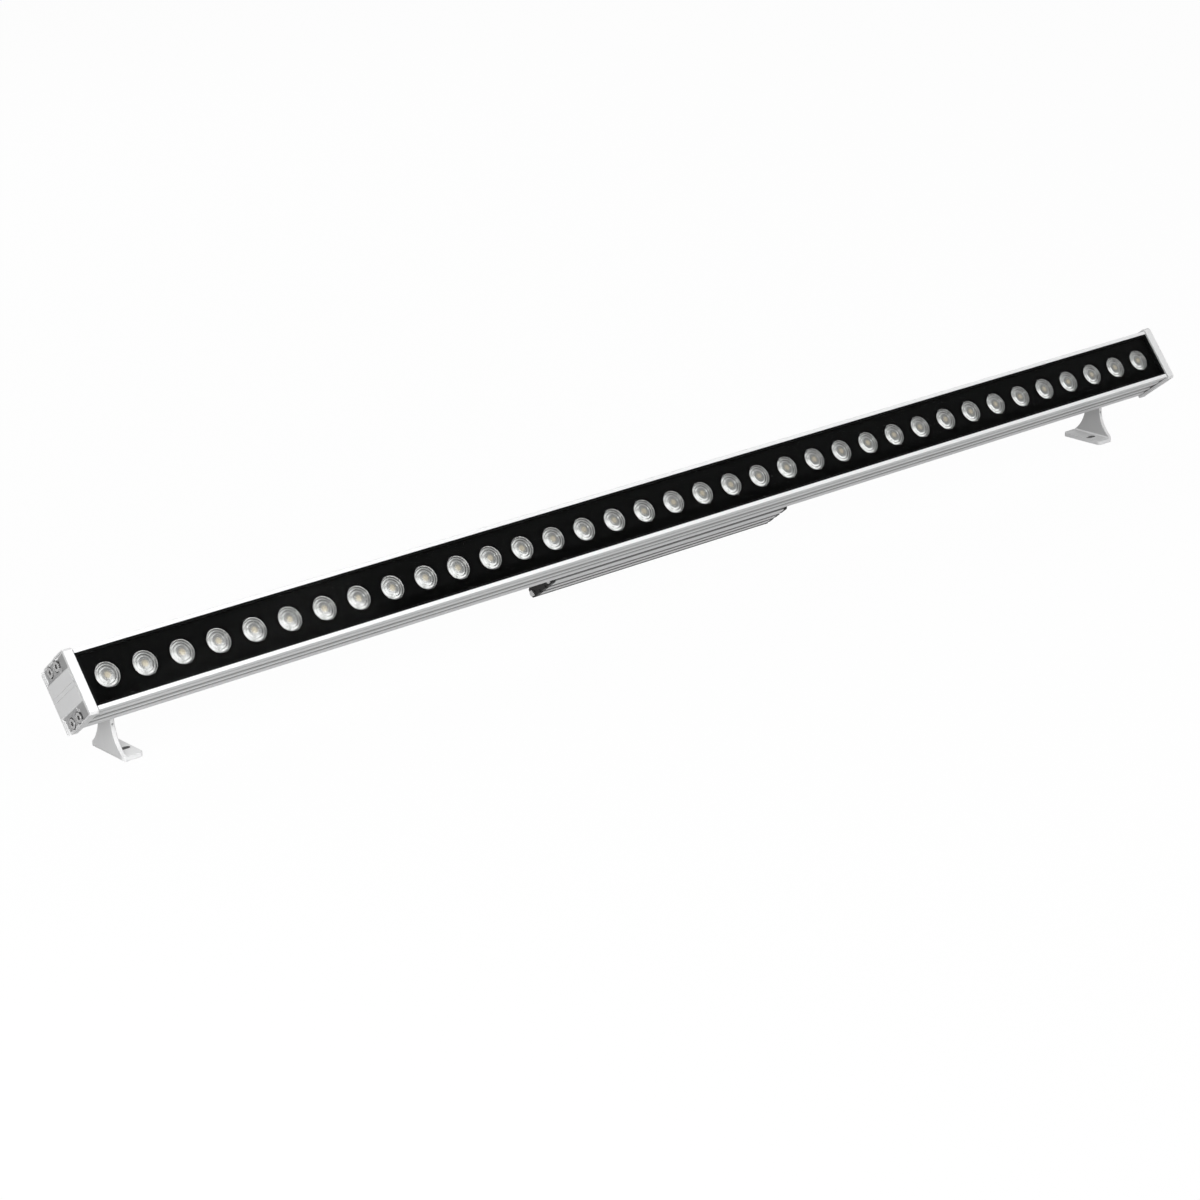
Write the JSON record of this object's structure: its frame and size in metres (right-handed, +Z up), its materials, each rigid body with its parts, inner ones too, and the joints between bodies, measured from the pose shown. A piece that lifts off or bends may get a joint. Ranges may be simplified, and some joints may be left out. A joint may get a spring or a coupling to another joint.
{
  "type": "outdoor wall washer light",
  "caption": "Slim extruded bar light: a row of round lenses behind flush glass, ribbed sides, a finned driver box on the back and slotted feet that slide and tilt.",
  "frame": {"origin": "midway between the centres of the two foot slots, on the plane that the feet stand on", "axes": "+X along the bar, +Y away from the lit side, +Z up; the light face looks towards -Y and 37.4 degrees up"},
  "size_m": [1, 0.0798, 0.0858],
  "materials": {
    "anodised_aluminium": "satin, fine extrusion lines",
    "cast_aluminium": "satin silver paint",
    "front_glass": "clear, polished",
    "lens_acrylic": "clear, polished",
    "black_panel": "matt black",
    "black_plastic": "matt black",
    "black_rubber": "matt",
    "steel": "plain stainless steel",
    "led_board": "white solder mask",
    "led_package": "yellow phosphor under clear resin",
    "white_plastic": "matt",
    "circuit_board": "green solder mask",
    "winding": "enamelled copper",
    "capacitor": "dark sleeve",
    "potting": "matt grey resin",
    "wire": "smooth"
  },
  "bodies": {
    "luminaire": {"housing_profile": "anodised_aluminium", "end_cap_left": "cast_aluminium", "end_cap_right": "cast_aluminium", "cap_gasket_left": "black_rubber", "cap_gasket_right": "black_rubber", "end_cap_screws": "steel", "front_glass": "front_glass", "glass_sealant": "black_rubber", "lens_panel": "black_panel", "lenses": "lens_acrylic", "led_packages": "led_package", "led_board_left": "led_board", "led_board_centre": "led_board", "led_board_right": "led_board", "board_screws": "steel", "board_links": "white_plastic", "lead_wires": "wire", "wire_grommet": "black_rubber", "driver_box": "anodised_aluminium", "driver_plate_left": "black_plastic", "driver_plate_right": "black_plastic", "driver_gasket_left": "black_rubber", "driver_gasket_right": "black_rubber", "driver_plate_screws": "steel", "driver_board": "circuit_board", "driver_transformer": "winding", "driver_capacitors": "capacitor", "driver_choke": "winding", "driver_potting": "potting", "gland_body": "black_plastic", "gland_seal": "black_rubber", "gland_nut": "black_plastic", "gland_locknut": "black_plastic", "box_bolts": "steel", "box_t_nuts": "steel"},
    "left_slider": {"slider_left": "anodised_aluminium", "slider_screws_left": "steel", "pivot_bolt_left": "steel", "pivot_washer_left": "steel", "pivot_nut_left": "steel"},
    "left_foot": {"foot_left": "cast_aluminium", "foot_set_screw_left": "steel"},
    "right_slider": {"slider_right": "anodised_aluminium", "slider_screws_right": "steel", "pivot_bolt_right": "steel", "pivot_washer_right": "steel", "pivot_nut_right": "steel"},
    "right_foot": {"foot_right": "cast_aluminium", "foot_set_screw_right": "steel"}
  },
  "joints": [
    {"name": "left_foot_slide", "type": "slide", "parent": "luminaire", "child": "left_slider", "axis": [1, 0, 0], "range_m": [-0.02, 0.27]},
    {"name": "left_foot_tilt", "type": "hinge", "parent": "left_slider", "child": "left_foot", "pos_m": [-0.4611, 0.005, 0.0417], "axis": [1, 0, 0], "range_deg": [-37.4, 142.6]},
    {"name": "right_foot_slide", "type": "slide", "parent": "luminaire", "child": "right_slider", "axis": [1, 0, 0], "range_m": [-0.27, 0.02]},
    {"name": "right_foot_tilt", "type": "hinge", "parent": "right_slider", "child": "right_foot", "pos_m": [0.4611, 0.005, 0.0417], "axis": [1, 0, 0], "range_deg": [-37.4, 142.6]}
  ]
}
